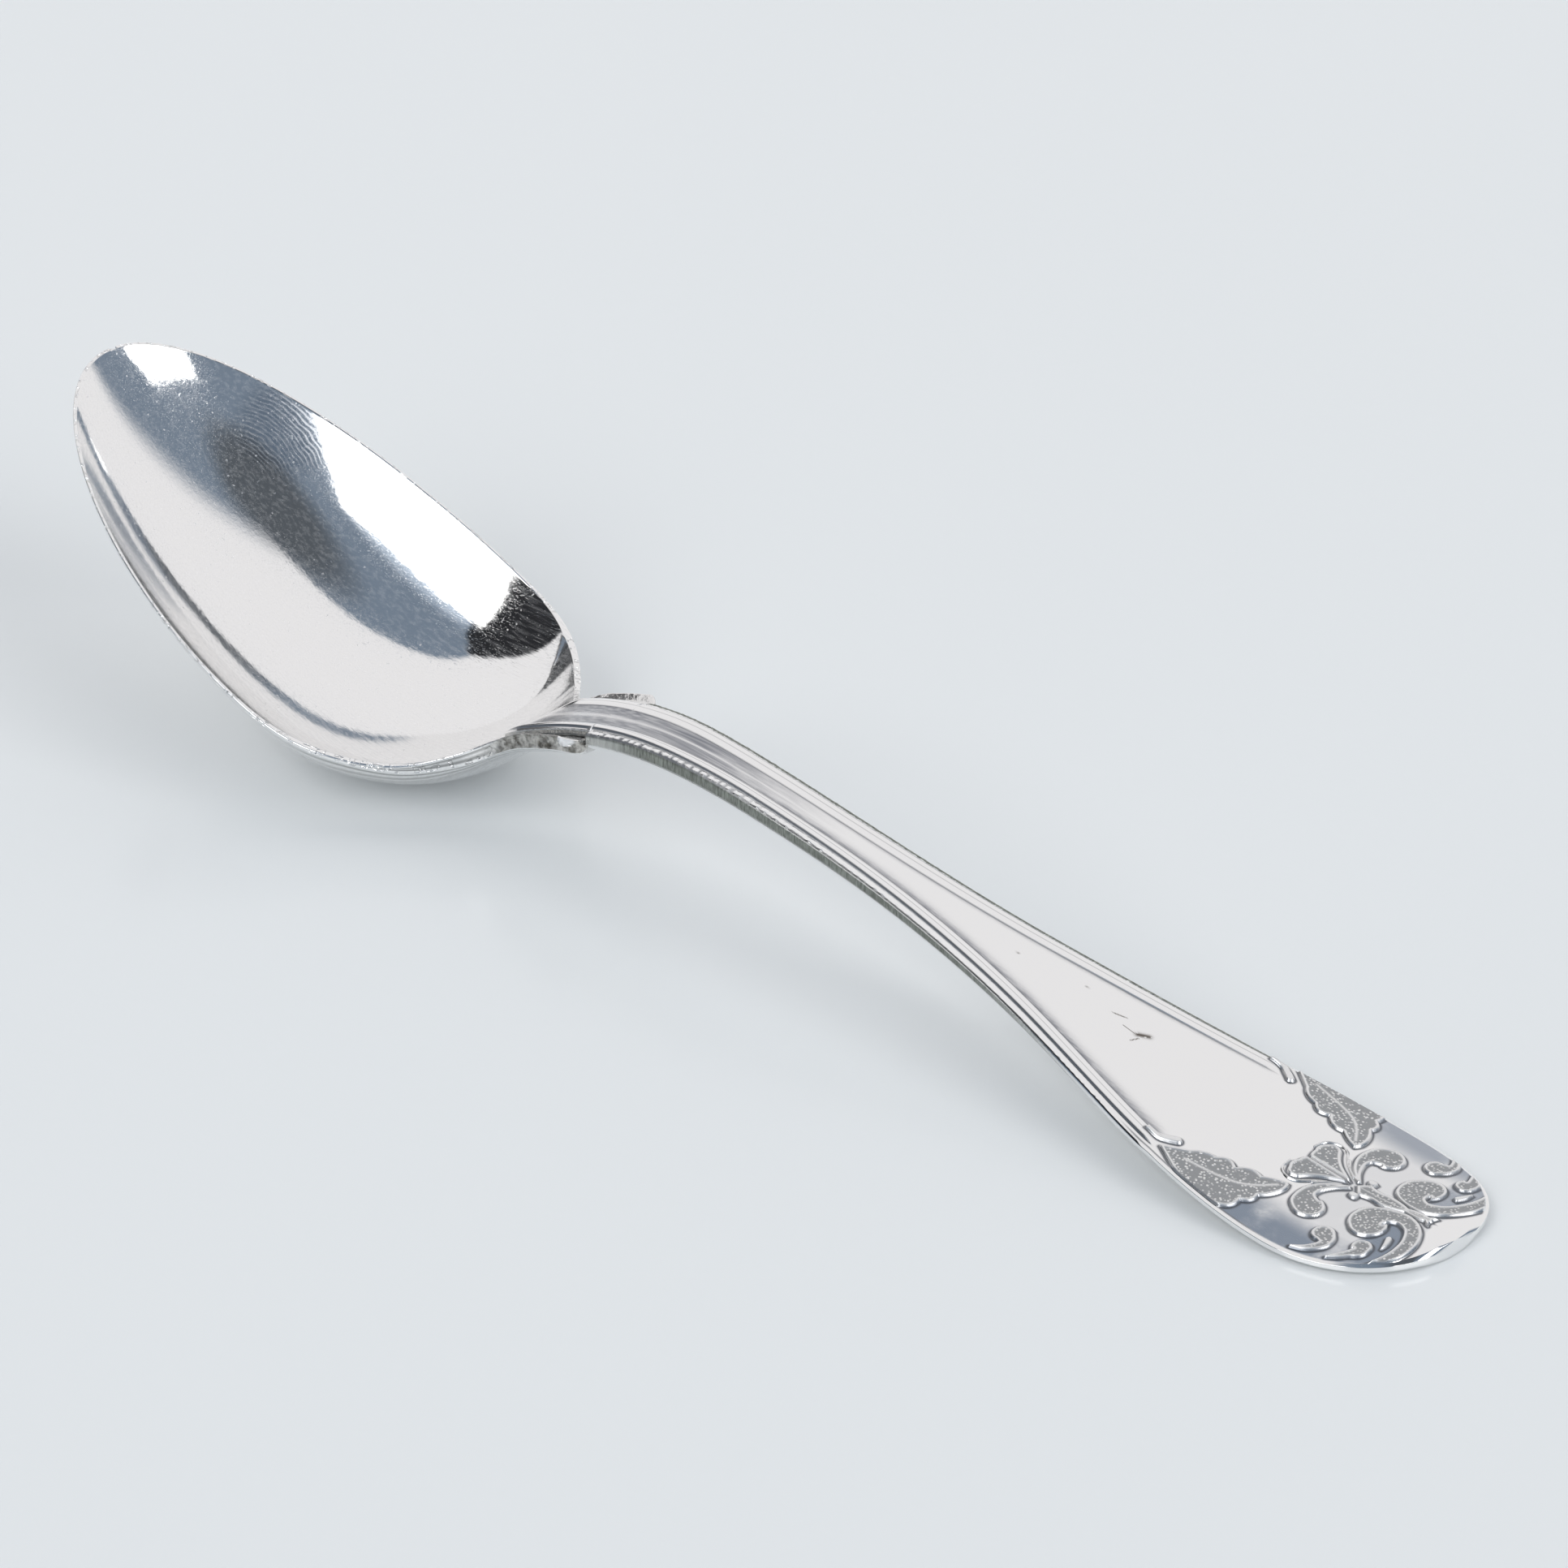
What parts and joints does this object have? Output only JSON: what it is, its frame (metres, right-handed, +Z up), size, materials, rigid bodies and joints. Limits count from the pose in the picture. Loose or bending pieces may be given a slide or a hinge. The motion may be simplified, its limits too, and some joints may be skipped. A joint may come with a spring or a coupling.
{
  "type": "soup spoon",
  "caption": "Silver soup spoon: egg-shaped bowl on a shouldered tongue, soldered under an arched handle with raised threads and a wide end plate with leaf and scroll relief.",
  "frame": {"origin": "bottom centre of the bounding box of the spoon as it lies on a table", "axes": "+X along the spoon from the bowl's tip to the handle's end, +Y to the left of that, +Z up from the table"},
  "size_m": [0.202, 0.0438, 0.0336],
  "materials": {
    "polished_silver": "polished silver with fine scratches, smudges and small tarnish marks",
    "matted_silver": "stippled matted silver with bright raised outlines",
    "silver_solder": "filed hard solder"
  },
  "bodies": {
    "root": {"bowl": "polished_silver", "solder_seam": "silver_solder", "handle": "polished_silver", "handle_relief": "matted_silver"}
  },
  "joints": []
}
